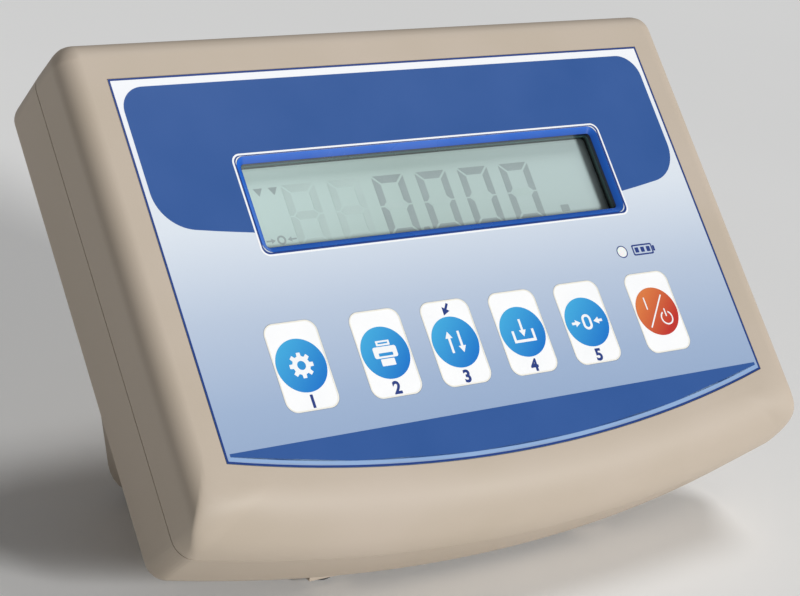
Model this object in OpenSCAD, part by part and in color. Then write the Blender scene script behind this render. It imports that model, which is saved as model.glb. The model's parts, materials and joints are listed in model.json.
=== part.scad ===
// Desk weighing indicator: a two-shell moulded case that leans on a battery hump, with a recessed
// liquid crystal display, a printed film overlay and six sprung keys.
// The case is drawn lying on its datum, the middle of the overlay's top edge on the front face:
// X to the right, Y up the face, Z out of the face. Drops run down the face from the datum and
// depths run back from the face. standing() then leans the case back onto the desk.
// Lengths are in millimetres and angles in degrees.

/* [Stance] */
// Lean of the front face, measured up from the desk
tilt = 43; // [41:0.5:45]
// Height of a rubber foot below the moulding that carries it
foot_stand = 2; // [1.5:0.1:4]
// Diameter of a rubber foot
foot_d = 10; // [8:0.5:12]
// Depth of the seat that a rubber foot is glued into
foot_seat = 1.2; // [0.8:0.1:1.5]
// Drop of the two front feet
front_foot_drop = 143; // [139:0.5:145]
// Distance from the middle to a front foot
front_foot_x = 50; // [40:1:60]
// Distance from the hump's side to a rear foot
rear_foot_inset = 20; // [16:1:35]

/* [Case] */
// Width of the case
case_w = 226.4; // [222:0.2:232]
// Rise of the case's top edge above the datum
case_rise = 14.2; // [13:0.2:17]
// Drop of the lowest point of the bowed bottom edge
case_drop = 152; // [150:0.5:156]
// Radius of the bowed bottom edge
bow_r = 490; // [450:5:560]
// Depth of the case behind its front face
case_depth = 42; // [40:0.5:46]
// Depth of the seam between the two shells
seam_depth = 19; // [18.5:0.1:20]
// Thickness of the shells
wall = 2.5; // [2.2:0.1:3]
// Corner radius at the top
top_corner_r = 7; // [6:0.5:10]
// Lower corner radius at the seam and behind it
low_corner_r = 7; // [6:0.5:10]
// Lower corner radius where the front face ends
face_corner_r = 30; // [27:1:34]
// Round of the front edge along the sides and the top
edge_r = 7; // [6:0.5:8]
// Width of the rolled chin at the middle
chin_w = 18; // [16:0.5:18.5]
// Width of the rolled chin at the lower corners
chin_corner_w = 16; // [14:0.5:17]
// Depth that the chin rolls back to
chin_depth = 18; // [16:0.5:18.2]
// Round of the back edge
back_edge_r = 3; // [2.7:0.1:4]
// Draft of the rear shell's sides
draft = 1.5; // [0.5:0.5:2]
// Width of the shadow line along the seam
shadow_gap = 0.4; // [0.2:0.1:0.6]
// Depth of the shadow line in from the surface
shadow_cut = 0.6; // [0.4:0.1:0.9]

/* [Battery hump] */
// Distance from the case's side to the hump's side
hump_inset = 23.2; // [21.2:0.5:26.2]
// Drop of the hump's top wall
hump_top = 12; // [11:0.5:13]
// Drop of the hump's bottom wall
hump_bottom = 101; // [99:0.5:103]
// Depth of the sloped back where it would meet the bottom wall
hump_depth = 98.8; // [96:0.4:101]
// Slope of the hump's back
hump_slope = 18.4; // [17.4:0.2:19.4]
// Round along the hump's sides and top
hump_edge_r = 6; // [5:0.5:7]
// Round along the hump's bottom
hump_low_r = 10.2; // [9:0.2:11]
// Corner radius of the hump seen from behind
hump_corner_r = 13; // [12.5:0.5:15]

/* [Overlay] */
// Width of the case's face at each side of the film overlay
face_margin = 13.2; // [12.2:0.2:14.2]
// Height of the overlay's straight sides
overlay_side = 119.6; // [118:0.2:121]
// How far the overlay's lower edge bows below its corners
overlay_bow = 12; // [11:0.2:12.4]
// Thickness of the overlay with its adhesive
film_t = 0.5; // [0.4:0.05:0.7]
// Gap between the overlay and the edge of its recess
film_gap = 0.2; // [0.1:0.05:0.4]

/* [Display window] */
// Width of the window opening
window_w = 132.8; // [130:0.2:135]
// Height of the window opening
window_h = 27.2; // [26:0.2:28.6]
// Distance of the window's middle to the right of the case's middle
window_x = 1.3; // [0:0.1:2]
// Drop of the window's middle
window_drop = 43.7; // [42.5:0.1:45]
// Corner radius of the window opening
window_r = 1.2; // [0.8:0.1:1.6]
// Width of the bezel's bevelled edge
bevel_w = 2; // [1.6:0.1:2.4]
// Depth of the bezel's bevelled edge
bevel_depth = 1.4; // [1:0.1:1.8]
// Depth of the clear lens behind the face
lens_depth = 5; // [4.8:0.1:5.6]
// Thickness of the clear lens
lens_t = 1; // [0.8:0.1:1.2]
// Width that the lens laps behind the window's edge
lens_lap = 3; // [2:0.2:3.6]

/* [Display] */
// Width that the display glass reaches past the window's sides
glass_lap_x = 5; // [4:0.2:6]
// Width that the display glass reaches past the window's top and bottom
glass_lap_y = 5; // [4.2:0.2:5.4]
// Thickness of the display glass
glass_t = 2.8; // [2.4:0.1:3.2]
// Ledge of the display glass that carries the contacts
glass_ledge = 2.5; // [2:0.1:3]
// Contacts along one edge of the display
contact_count = 24; // [16:1:30]
// Pitch of the contacts
contact_pitch = 5.08; // [4:0.02:5.2]
// Width of one contact
contact_t = 0.6; // [0.5:0.1:0.8]

/* [Keys] */
// Width of a key's printed pad
key_w = 18.1; // [17:0.1:19]
// Height of a key's printed pad
key_h = 27.7; // [26.5:0.1:29]
// Corner radius of a key's pad
key_r = 3.8; // [3:0.1:4.4]
// Drop of the key row's middle
key_drop = 95; // [94:0.5:96.5]
// Pitch of the four middle keys
key_pitch = 25.4; // [24:0.1:26]
// Pitch from each end key to its neighbour
end_key_pitch = 29; // [27.5:0.1:29.4]
// Travel of a key
key_travel = 0.35; // [0.25:0.05:0.5]
// Gap round a key's pad
key_gap = 0.1; // [0.08:0.02:0.2]
// Depth of the well below a key's pad
key_well = 0.8; // [0.7:0.05:1]
// Diameter of a key's plunger
plunger_d = 6; // [5:0.5:7]
// Gap round a plunger
plunger_gap = 0.4; // [0.3:0.1:0.6]

/* [Boards] */
// Depth of the main board's front
board_depth = 13; // [12.6:0.1:13.6]
// Thickness of a circuit board
board_t = 1.6; // [1.2:0.1:2]
// Width of the main board past the display glass at each side
board_margin = 16.6; // [15:0.2:17.6]
// Drop of the main board's top edge
board_top = 20; // [19:0.5:21]
// Drop of the main board's bottom edge
board_bottom = 115; // [114:0.5:117]
// Diameter of a board post
post_d = 6.5; // [6:0.5:7]
// Diameter of the board screws
board_screw_d = 2.5; // [2:0.1:3]

/* [Case screws] */
// Diameter of the case screws
case_screw_d = 3; // [2.5:0.1:3.5]
// Diameter of a front boss
boss_d = 8; // [7:0.5:9]
// Diameter of a rear screw post
rear_post_d = 10; // [9.5:0.5:11]
// Thickness of the web that a case screw clamps
post_web = 4; // [3:0.5:6]
// Distance from the case's side to an upper screw
upper_screw_inset = 12.2; // [11:0.2:14]
// Distance from the case's side to a lower screw
lower_screw_inset = 18.2; // [17:0.2:20]
// Distance from the case's top to an upper screw
upper_screw_fall = 12.2; // [11:0.2:14]
// Distance from the case's lowest point up to a lower screw
lower_screw_rise = 26; // [24:0.5:28]

/* [Battery] */
// Width of the hump's flat back at each end of the battery door
door_inset = 9.3; // [8.8:0.1:11]
// Height of the battery along the sloped door
battery_h = 60; // [57:0.5:61]
// Thickness of the battery
battery_t = 34; // [30:0.5:35]
// Gap round the battery in its opening
battery_gap = 1.2; // [0.8:0.1:1.5]
// Thickness of the foam pad behind the battery
pad_t = 3; // [2:0.5:4]
// Thickness of the battery door
door_t = 2.2; // [2:0.1:2.6]
// Width of the door's lip at its ends
door_end_lip = 6.5; // [6:0.25:7]
// Width of the door's lip along its long edges
door_edge_lip = 4.5; // [3:0.25:4.75]
// Thickness of the ledge under the door's lip
ledge_t = 2.6; // [2:0.1:3]
// Gap round the door
door_gap = 0.3; // [0.2:0.05:0.4]
// Diameter of the door screws
door_screw_d = 2.5; // [2:0.1:3]

/* [Rear connectors] */
// Height of the connector row above the datum
row_y = 1.5; // [1:0.1:2]
// Place of the serial connector, right of the middle
serial_x = -46; // [-50:1:-42]
// Place of the load cell socket, right of the middle
socket_x = 4; // [0:1:10]
// Place of the supply jack, right of the middle
jack_x = 42; // [38:1:48]
// Outer diameter of the load cell socket's thread
socket_d = 15.6; // [15:0.1:16]
// Reach of the load cell socket behind the case
socket_out = 8.5; // [7.5:0.5:9.5]
// Outer diameter of the supply jack's thread
jack_d = 8; // [7.5:0.1:9]
// Bore of the supply jack
jack_bore_d = 5.6; // [5.4:0.1:6]
// Reach of the supply jack behind the case
jack_out = 4; // [3.5:0.5:5]
// Bracket insert thread diameter
insert_d = 4; // [3:0.5:4]
// Length of a bracket insert
insert_l = 8; // [7:0.5:9]
// Distance from the case's side to a bracket insert
insert_inset = 12.7; // [12.2:0.5:14.2]
// Drop of the upper bracket inserts
insert_upper_drop = 40; // [36:1:44]
// Drop of the lower bracket inserts
insert_lower_drop = 90; // [84:1:94]

/* [Hidden] */

// Overrun of every cut, and the root of every boss within its wall
cut = 1;
boss_root_share = 0.8;
// Small gaps between pieces that are slipped together
slip = 0.1;
// Half sizes used often
half_w = case_w / 2;
hump_w = case_w - 2 * hump_inset;
overlay_w = case_w - 2 * face_margin;
insert_x = half_w - insert_inset;
rear_foot_x = hump_w / 2 - rear_foot_inset;
$fn = 48;

// Number of steps along each stretch of the case's outline and across its rounds
corner_steps = 8;
bow_steps = 20;
roll_steps = 6;
back_steps = 4;
roll_turn = 90 / roll_steps;
back_turn = 90 / back_steps;

// Colours
putty = "#CBBEA6";
overlay_blue = "#3D5C9F";
bezel_blue = "#2F5FD0";
board_green = "#2E6B3F";
tin = "#B9BCC0";
black = "#222426";
white = "#F2F3F4";
brass = "#C8A24A";
steel = "#9DA1A6";

// Outline of the case at a given lower corner radius, anticlockwise seen from the front.
// Each entry holds a point, its outward normal and a share that is 0 on the sides and top and
// runs to 1 along the bowed bottom edge.
function arc_run(c, r, from, to, steps, share_from, share_to) = [
    for (i = [0:steps])
        let (t = i / steps, a = from + (to - from) * t)
        [c.x + r * cos(a), c.y + r * sin(a), cos(a), sin(a), share_from + (share_to - share_from) * t]
];
bow_y = bow_r - case_drop;
function low_corner_x(r) = half_w - r;
function low_corner_y(r) = bow_y - sqrt(pow(bow_r - r, 2) - pow(low_corner_x(r), 2));
function bow_half_angle(r) = atan(low_corner_x(r) / (bow_y - low_corner_y(r)));
function without_last(list) = [for (i = [0:len(list) - 2]) list[i]];
function without_ends(list) = [for (i = [1:len(list) - 2]) list[i]];
function outline(r) = let (
    bow = bow_half_angle(r),
    top_x = half_w - top_corner_r,
    top_y = case_rise - top_corner_r,
    low_x = low_corner_x(r),
    low_y = low_corner_y(r)
) concat(
    arc_run([top_x, top_y], top_corner_r, 0, 90, corner_steps, 0, 0),
    arc_run([-top_x, top_y], top_corner_r, 90, 180, corner_steps, 0, 0),
    arc_run([-low_x, low_y], r, 180, 270 - bow, corner_steps, 0, 1),
    without_ends(arc_run([0, bow_y], bow_r, 270 - bow, 270 + bow, bow_steps, 1, 1)),
    arc_run([low_x, low_y], r, 270 + bow, 360, corner_steps, 1, 0)
);
function eased(t) = t * t * (3 - 2 * t);

// Width and depth of the front edge's round at one point of the outline
function chin_width(x) = chin_w + (chin_corner_w - chin_w) * pow(x / half_w, 2);
function roll_width(p) = edge_r + (chin_width(p.x) - edge_r) * eased(p[4]);
function roll_depth(p) = edge_r + (chin_depth - edge_r) * eased(p[4]);
// The lower corners tighten as the front edge turns back to the seam
function turning_corner(turn) = low_corner_r + (face_corner_r - low_corner_r) * (1 - sin(turn));
// One ring of the front shell, at a turn of 0 on the face and 90 on the sides, a skin under it
function front_ring(turn, skin) = [
    for (p = outline(turning_corner(turn)))
        let (inset = roll_width(p) * (1 - sin(turn)) + skin * sin(turn))
        [
            p.x - p[2] * inset,
            p.y - p[3] * inset,
            -(roll_depth(p) * (1 - cos(turn)) + skin * cos(turn))
        ]
];
// One ring at a fixed depth, drawn in by an inset
function level_ring(inset, depth) = [
    for (p = outline(low_corner_r)) [p.x - p[2] * inset, p.y - p[3] * inset, -depth]
];
function draft_inset(depth) = (depth - seam_depth) * tan(draft);
// One ring of the rear shell's back edge, at a turn of 0 on the sides and 90 on the back
function back_ring(turn) = level_ring(
    draft_inset(case_depth - back_edge_r) + back_edge_r * (1 - cos(turn)),
    case_depth - back_edge_r * (1 - sin(turn))
);
// A ring past the last of a round, on the line from the ring before it, so that a flat cut
// through the last one leaves a true plane
function past(ring, before) = [for (i = [0:len(ring) - 1]) ring[i] + (ring[i] - before[i]) / 2];

// Depth of the hump's sloped back at a drop
function slope_depth(drop) = hump_depth - tan(hump_slope) * (hump_bottom - drop);
// Outline of the hump seen from behind, with a share that is 1 along its bottom
function hump_outline() = let (
    x = hump_w / 2 - hump_corner_r,
    high = -hump_top - hump_corner_r,
    low = -hump_bottom + hump_corner_r
) concat(
    arc_run([x, high], hump_corner_r, 0, 90, corner_steps, 0, 0),
    arc_run([-x, high], hump_corner_r, 90, 180, corner_steps, 0, 0),
    arc_run([-x, low], hump_corner_r, 180, 270, corner_steps, 0, 1),
    arc_run([x, low], hump_corner_r, 270, 360, corner_steps, 1, 0)
);
function hump_round(p) = hump_edge_r + (hump_low_r - hump_edge_r) * eased(p[4]);
function hump_point(p, turn, skin) = let (
    r = hump_round(p),
    inset = r * (1 - sin(turn)) + skin * sin(turn),
    y = p.y - p[3] * inset
) [p.x - p[2] * inset, y, -(slope_depth(-y) - r * (1 - cos(turn)) - skin * cos(turn))];
function hump_ring(turn, skin) = [for (p = hump_outline()) hump_point(p, turn, skin)];
function hump_root(skin, depth) = [
    for (p = hump_outline()) [p.x - p[2] * skin, p.y - p[3] * skin, -depth]
];

// A closed solid through rings of equal count, each end capped by a fan from its middle
function middle(ring) = [for (k = [0:2]) [for (p = ring) p[k]] * [for (p = ring) 1] / len(ring)];
function joined(lists) = [for (list = lists) each list];
module loft(rings) {
    n = len(rings[0]);
    last = len(rings) - 1;
    points = concat(joined(rings), [middle(rings[0]), middle(rings[last])]);
    sides = joined([
        for (k = [0:last - 1], i = [0:n - 1])
            let (j = (i + 1) % n)
            [[k * n + i, k * n + j, (k + 1) * n + j], [k * n + i, (k + 1) * n + j, (k + 1) * n + i]]
    ]);
    front_cap = [for (i = [0:n - 1]) [(last + 1) * n, (i + 1) % n, i]];
    back_cap = [for (i = [0:n - 1]) [(last + 1) * n + 1, last * n + i, last * n + (i + 1) % n]];
    polyhedron(points = points, faces = concat(sides, front_cap, back_cap), convexity = 6);
}

// Everything behind a depth, as a block to cut with
block_w = 2 * case_w;
module behind(depth) slab(depth, depth + case_w) square(block_w, center = true);
// Front shell, from its face round to the seam and back along its inside
module front_form() loft(concat(
    [for (k = [0:roll_steps]) front_ring(k * roll_turn, 0)],
    [level_ring(0, seam_depth)],
    [level_ring(wall, seam_depth)],
    [for (k = [roll_steps:-1:0]) front_ring(k * roll_turn, wall)]
));
// Rear shell, the hollow in it and the hump behind it
module back_form() difference() {
    loft(concat(
        [level_ring(0, seam_depth)],
        [for (k = [0:back_steps - 1]) back_ring(k * back_turn)],
        [past(back_ring(90), back_ring(90 - back_turn))]
    ));
    behind(case_depth);
}
module back_hollow() difference() {
    loft([
        level_ring(wall, seam_depth - cut),
        level_ring(wall + draft_inset(case_depth), case_depth)
    ]);
    behind(case_depth - wall);
}
module hump_form(skin, root) difference() {
    loft(concat(
        [hump_root(skin, root)],
        [for (k = [roll_steps:-1:1]) hump_ring(k * roll_turn, skin)],
        [past(hump_ring(0, skin), hump_ring(roll_turn, skin))]
    ));
    on_slope() translate([0, 0, -skin * cos(hump_slope)])
        linear_extrude(case_w) square(block_w, center = true);
}

// How far the hump and the case reach towards the desk, and the ends of the whole thing
hump_low_middle = [0, -hump_bottom, 0, -1, 1];
hump_top_middle = [0, -hump_top, 0, 1, 0];
chin_middle = [0, -case_drop, 0, -1, 1];
function towards_desk(p) = -p.y * sin(tilt) - p.z * cos(tilt);
function towards_back(p) = p.y * cos(tilt) - p.z * sin(tilt);
turns = [for (a = [0:90]) a];
hump_reaches = [for (a = turns) towards_desk(hump_point(hump_low_middle, a, 0))];
hump_reach = max(hump_reaches);
rear_foot_turn = [for (a = turns) if (hump_reaches[a] == hump_reach) a][0];
back_edge_reach = (case_drop - draft_inset(case_depth - back_edge_r) - back_edge_r) * sin(tilt)
    + (case_depth - back_edge_r) * cos(tilt) + back_edge_r;
desk_drop = max(hump_reach, back_edge_reach) + foot_stand;
front_end = min([
    for (a = turns)
        towards_back([
            0,
            -case_drop + chin_w * (1 - sin(a)),
            -chin_depth * (1 - cos(a))
        ])
]);
back_end = max(
    towards_back([0, row_y + socket_d / 2, -case_depth - socket_out]),
    towards_back([0, case_rise - back_edge_r, back_edge_r - case_depth]) + back_edge_r,
    max([for (a = turns) towards_back(hump_point(hump_top_middle, a, 0))])
);
desk_shift = -(front_end + back_end) / 2;
module standing() translate([0, desk_shift, desk_drop]) rotate([tilt, 0, 0]) children();
// Places its children by desk coordinates within standing()
module from_desk() rotate([-tilt, 0, 0]) translate([0, -desk_shift, -desk_drop]) children();

// Places on the front face, and shapes given by the depths that they run between
module at(x, drop) translate([x, -drop, 0]) children();
module slab(near, far) translate([0, 0, -far]) linear_extrude(far - near) children();
module rod(near, far, d) translate([0, 0, -far]) cylinder(h = far - near, d = d);
module rounded_rect(w, h, r) {
    square([w - 2 * r, h], center = true);
    square([w, h - 2 * r], center = true);
    for (x = [-1, 1], y = [-1, 1])
        translate([x * (w / 2 - r), y * (h / 2 - r)]) circle(r = r);
}
module case_section(inset) polygon([for (p = level_ring(inset, 0)) [p.x, p.y]]);

// Middle of the hump's flat back, and a frame on it: X to the left of the case, so to the right
// seen from behind, Y up the slope and Z out of it
door_drop = (hump_top + hump_edge_r + hump_bottom - hump_low_r) / 2;
module on_slope()
    translate([0, -door_drop, -slope_depth(door_drop)])
        rotate([hump_slope, 0, 0]) rotate([0, 180, 0]) children();

// Places of the keys, from left to right
key_row_shift = -window_x / 6;
key_places = [for (i = [0:5])
    let (side = i < 3 ? -1 : 1, step = i < 3 ? 2 - i : i - 3)
    key_row_shift + side * (key_pitch / 2 + (step == 0 ? 0 : key_pitch)
        + (step == 2 ? end_key_pitch : 0))
];
module at_key(i) at(key_places[i], key_drop) children();

// Charge lamp: its place beside the last key's column and its light pipe
lamp_off_key = 5;
lamp_over_key = 21.7;
lamp_x = key_places[5] - lamp_off_key;
lamp_drop = key_drop - lamp_over_key;
lamp_d = 3.6;
pipe_collar_d = 6;
pipe_collar_t = 1.2;
led_d = 3;
led_h = 4;

// Size of the display glass and of the board that carries it
glass_w = window_w + 2 * glass_lap_x;
glass_h = window_h + 2 * glass_lap_y;
board_w = glass_w + 2 * board_margin;

// Bezel: its outer size, the flange that holds it behind the face and the face's opening
bezel_w = window_w + 2 * bevel_w;
bezel_h = window_h + 2 * bevel_w;
bezel_r = window_r + bevel_w;
bezel_flange = 1.8;
bezel_flange_t = 1.4;
bezel_gap = 0.15;

// Screws: head, recess and the hole that each one bites into
head_share = 1.85;
head_height_share = 0.7;
recess_share = 1.05;
recess_width_share = 0.3;
screw_gap = 0.05;
hole_gap = 0.2;

// Places of the screws, as a distance right of the middle and a drop
board_post_inset = 6;
board_post_places = [
    for (side = [-1, 1], drop = [board_top + board_post_inset, board_bottom - board_post_inset])
        [side * (board_w / 2 - board_post_inset), drop]
];
middle_post_drop = (window_drop + window_h / 2 + glass_lap_y + key_drop - key_h / 2) / 2;
board_places = concat(board_post_places, [[0, middle_post_drop]]);
case_places = concat(
    [for (side = [-1, 1]) [side * (half_w - upper_screw_inset), upper_screw_fall - case_rise]],
    [for (side = [-1, 1]) [side * (half_w - lower_screw_inset), case_drop - lower_screw_rise]]
);
case_screw_end = seam_depth / 2;

// Battery door: opening, lip and screws, in the frame of the slope
door_w = hump_w - 2 * hump_edge_r - 2 * door_inset;
opening_w = door_w - 2 * door_end_lip;
battery_l = opening_w - 2 * battery_gap;
opening_h = battery_h + 2 * battery_gap;
door_h = opening_h + 2 * door_edge_lip;
door_r = 3;
opening_r = 2;
door_screw_x = opening_w / 2 + door_end_lip / 2;
door_screw_y = opening_h / 3;
door_boss_d = 6.2;
door_boss_l = 6;
door_places = [for (x = [-1, 1], y = [-1, 1]) [x * door_screw_x, y * door_screw_y]];
battery_face = door_t + pad_t;

// Cradle ribs below the battery
cradle_t = 2;
cradle_reach = 14;
cradle_w = 20;

// Switches below the keys
switch_w = 6;
switch_h = 3.5;
stem_d = 3.5;
stem_rise = 1.5;
stem_root = 0.8;
stem_gap = 0.1;
stem_floor = stem_root + 2 * key_travel;
switch_top = board_depth - switch_h;
stem_top = switch_top - stem_rise;

// Front shell: a rolled chin, rounded edges, bosses and posts, and the cuts for what shows
module front_housing() color(putty) standing() difference() {
    union() {
        front_form();
        for (p = board_places) at(p.x, p.y) rod(wall * boss_root_share, board_depth, post_d);
        for (p = case_places) at(p.x, p.y) rod(wall * boss_root_share, seam_depth, boss_d);
    }
    slab(-cut, film_t) overlay_outline(film_gap);
    at(window_x, window_drop) slab(-cut, wall + cut)
        rounded_rect(bezel_w + 2 * bezel_gap, bezel_h + 2 * bezel_gap, bezel_r + bezel_gap);
    for (i = [0:5]) at_key(i) {
        slab(-cut, film_t + key_well) rounded_rect(key_w, key_h, key_r);
        rod(-cut, wall + cut, plunger_d + 2 * plunger_gap);
    }
    at(lamp_x, lamp_drop) rod(-cut, wall + cut, lamp_d + 2 * slip);
    for (p = board_places) at(p.x, p.y)
        rod(board_depth / 2, board_depth + cut, board_screw_d + 2 * screw_gap);
    for (p = case_places) at(p.x, p.y)
        rod(case_screw_end - cut, seam_depth + cut, case_screw_d + 2 * screw_gap);
}

// Overlay outline: straight top and sides and a bowed lower edge
overlay_r = (pow(overlay_w / 2, 2) + pow(overlay_bow, 2)) / (2 * overlay_bow);
module overlay_outline(grow) intersection() {
    translate([-overlay_w / 2 - grow, -overlay_side - overlay_bow - grow])
        square([overlay_w + 2 * grow, overlay_side + overlay_bow + 2 * grow]);
    translate([0, overlay_r - overlay_side - overlay_bow])
        circle(r = overlay_r + grow, $fn = 240);
}

// Film overlay, cut out for the bezel, the keys and the lamp
module front_overlay() color(overlay_blue) standing() difference() {
    slab(0, film_t) overlay_outline(0);
    at(window_x, window_drop) slab(-cut, film_t + cut)
        rounded_rect(bezel_w + 2 * bezel_gap, bezel_h + 2 * bezel_gap, bezel_r + bezel_gap);
    for (i = [0:5]) at_key(i) slab(-cut, film_t + cut) rounded_rect(key_w, key_h, key_r);
    at(lamp_x, lamp_drop) rod(-cut, film_t + cut, lamp_d + 2 * slip);
}

// Bezel: a bevelled frame whose deep sides reach down to the lens
module window_bezel() color(bezel_blue) standing() at(window_x, window_drop) difference() {
    union() {
        slab(0, lens_depth) rounded_rect(bezel_w, bezel_h, bezel_r);
        slab(wall + slip, wall + slip + bezel_flange_t)
            rounded_rect(bezel_w + 2 * bezel_flange, bezel_h + 2 * bezel_flange, bezel_r);
    }
    slab(-cut, lens_depth + cut) rounded_rect(window_w, window_h, window_r);
    hull() {
        slab(-cut * bevel_depth / bevel_w, 0) rounded_rect(bezel_w, bezel_h, bezel_r, $fn = 32);
        slab(bevel_depth - slip, bevel_depth) rounded_rect(window_w, window_h, window_r, $fn = 32);
    }
}

// Clear lens between the bezel and the display
module window_lens() color("#DCE6E4") standing() at(window_x, window_drop)
    slab(lens_depth, lens_depth + lens_t)
        rounded_rect(window_w + 2 * lens_lap, window_h + 2 * lens_lap, window_r);

// Display glass: two plates, the rear one with a ledge for the contacts
glass_front = lens_depth + lens_t;
glass_back = glass_front + glass_t;
module lcd_glass() color("#A9B8B4") standing() at(window_x, window_drop) {
    slab(glass_front, glass_front + glass_t / 2)
        square([glass_w, glass_h - 2 * glass_ledge], center = true);
    slab(glass_front + glass_t / 2, glass_back) square([glass_w, glass_h], center = true);
}
// Light guide that carries the glass on the board
module lcd_backlight() color(white) standing() at(window_x, window_drop) {
    slab(glass_back, board_depth) square([glass_w, glass_h - 2 * glass_ledge], center = true);
}
// Contacts that clip over the glass ledges and stand on the board
module lcd_contacts() color(tin) standing() at(window_x, window_drop)
    for (side = [-1, 1], i = [0:contact_count - 1])
        translate([(i - (contact_count - 1) / 2) * contact_pitch, side * (glass_h + contact_t) / 2])
            slab(glass_front + glass_t / 2, board_depth) square(contact_t, center = true);

// Main board with its screw holes
module main_board() color(board_green) standing() difference() {
    at(0, (board_top + board_bottom) / 2) slab(board_depth, board_depth + board_t)
        rounded_rect(board_w, board_bottom - board_top, board_t);
    for (p = board_places) at(p.x, p.y)
        rod(board_depth - cut, board_depth + board_t + cut, board_screw_d + 2 * hole_gap);
}
board_back = board_depth + board_t;

// Parts on the back of the main board
chip_w = 14;
chip_t = 1.6;
chip_lead_l = 1.2;
chip_lead_w = 0.45;
chip_lead_count = 11;
chip_lead_pitch = 1;
chip_x = -24;
chip_drop = 62;
module microcontroller() color(black) standing() at(chip_x, chip_drop) {
    slab(board_back + chip_lead_w / 2, board_back + chip_t)
        rounded_rect(chip_w, chip_w, chip_lead_w);
    for (turn = [0:90:270], i = [0:chip_lead_count - 1]) rotate(turn)
        translate([chip_w / 2, (i - (chip_lead_count - 1) / 2) * chip_lead_pitch])
            slab(board_back, board_back + chip_lead_w)
                square([2 * chip_lead_l, chip_lead_w], center = true);
}
shield_w = 30;
shield_h = 22;
shield_t = 6;
shield_wall = 0.4;
shield_x = 20;
vent_d = 2;
vent_pitch = 5;
module converter_shield() color(tin) standing() at(shield_x, chip_drop) difference() {
    slab(board_back, board_back + shield_t) rounded_rect(shield_w, shield_h, cut);
    slab(board_back - cut, board_back + shield_t - shield_wall)
        rounded_rect(shield_w - 2 * shield_wall, shield_h - 2 * shield_wall, cut - shield_wall);
    for (i = [-1:1], j = [-1:1]) translate([i * vent_pitch, j * vent_pitch])
        rod(board_back + shield_t - 2 * shield_wall, board_back + shield_t + cut, vent_d);
}
crystal_l = 11;
crystal_w = 4.6;
crystal_h = 3.5;
crystal_flange = 0.4;
module crystal() color(tin) standing() at(chip_x, chip_drop + chip_w) {
    slab(board_back, board_back + crystal_h)
        rounded_rect(crystal_l, crystal_w, crystal_w / 2 - slip);
    slab(board_back, board_back + crystal_flange)
        rounded_rect(crystal_l + 2 * crystal_flange, crystal_w + 2 * crystal_flange, crystal_w / 2);
}
cap_d = 8;
cap_h = 12;
cap_pitch = 11;
cap_inset = 14;
cap_x = cap_inset - board_w / 2;
cap_drop = 48;
cap_groove = 0.5;
module capacitors() color("#20304A") standing()
    for (i = [0:2]) at(cap_x, cap_drop + i * cap_pitch) difference() {
        rod(board_back, board_back + cap_h, cap_d);
        translate([0, 0, -board_back - 2 * cap_groove]) rotate_extrude()
            translate([cap_d / 2, 0]) circle(r = cap_groove, $fn = 24);
    }
regulator_w = 10;
regulator_t = 4.4;
regulator_h = 9;
tab_t = 1.3;
tab_h = 15.5;
regulator_inset = 18;
regulator_x = board_w / 2 - regulator_inset;
regulator_drop = 58;
lead_w = 0.9;
lead_pitch = 2.54;
lead_h = 4;
module voltage_regulator() color(black) standing() at(regulator_x, regulator_drop) {
    translate([0, -(regulator_t - tab_t) / 2]) slab(board_back + lead_h, board_back + lead_h + regulator_h)
        square([regulator_w, regulator_t - tab_t], center = true);
    slab(board_back + lead_h, board_back + lead_h + tab_h) translate([-regulator_w / 2, 0])
        square([regulator_w, tab_t]);
    for (i = [-1:1]) translate([i * lead_pitch, -tab_t / 2])
        slab(board_back, board_back + lead_h + tab_t) square(lead_w, center = true);
}
sink_w = 20;
sink_h = 20;
sink_t = 1.6;
fin_t = 1.2;
fin_l = 7;
fin_count = 6;
module heat_sink() color("#5B5F63") standing() at(regulator_x, regulator_drop)
    translate([0, tab_t]) slab(board_back, board_back + sink_h) {
        translate([-sink_w / 2, 0]) square([sink_w, sink_t]);
        for (i = [0:fin_count - 1])
            translate([-sink_w / 2 + i * (sink_w - fin_t) / (fin_count - 1), 0]) square([fin_t, fin_l]);
    }
buzzer_d = 12;
buzzer_h = 9;
buzzer_hole_d = 2;
buzzer_x = regulator_x;
buzzer_drop = 84;
module buzzer() color(black) standing() at(buzzer_x, buzzer_drop) difference() {
    rod(board_back, board_back + buzzer_h, buzzer_d);
    rod(board_back + buzzer_h / 2, board_back + buzzer_h + cut, buzzer_hole_d);
}

// Switch bodies on the front of the main board
module switch_bodies() color(black) standing() for (i = [0:5]) at_key(i) difference() {
    slab(switch_top, board_depth) square(switch_w, center = true);
    rod(switch_top - cut, switch_top + stem_floor, stem_d + 2 * stem_gap);
}
// A key: its printed pad in the overlay and the plunger that carries it on the switch stem
module key(i, tone) color(tone) standing() at_key(i) {
    slab(0, film_t) rounded_rect(key_w - 2 * key_gap, key_h - 2 * key_gap, key_r - key_gap);
    rod(film_t / 2, stem_top, plunger_d);
}
module switch_stem(i) color(tin) standing() at_key(i)
    rod(stem_top, switch_top + stem_root, stem_d);

// Charge lamp on the board and the light pipe in front of it
led_top = board_depth - led_h;
module charge_led() color("#D8433A") standing() at(lamp_x, lamp_drop) {
    rod(led_top + led_d / 2, board_depth, led_d);
    translate([0, 0, -led_top - led_d / 2]) sphere(d = led_d);
    rod(board_depth - led_d / 3, board_depth, led_d * 7 / 6);
}
module light_pipe() color(white) standing() at(lamp_x, lamp_drop) {
    rod(0, led_top - slip, lamp_d);
    rod(wall, wall + pipe_collar_t, pipe_collar_d);
}

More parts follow.
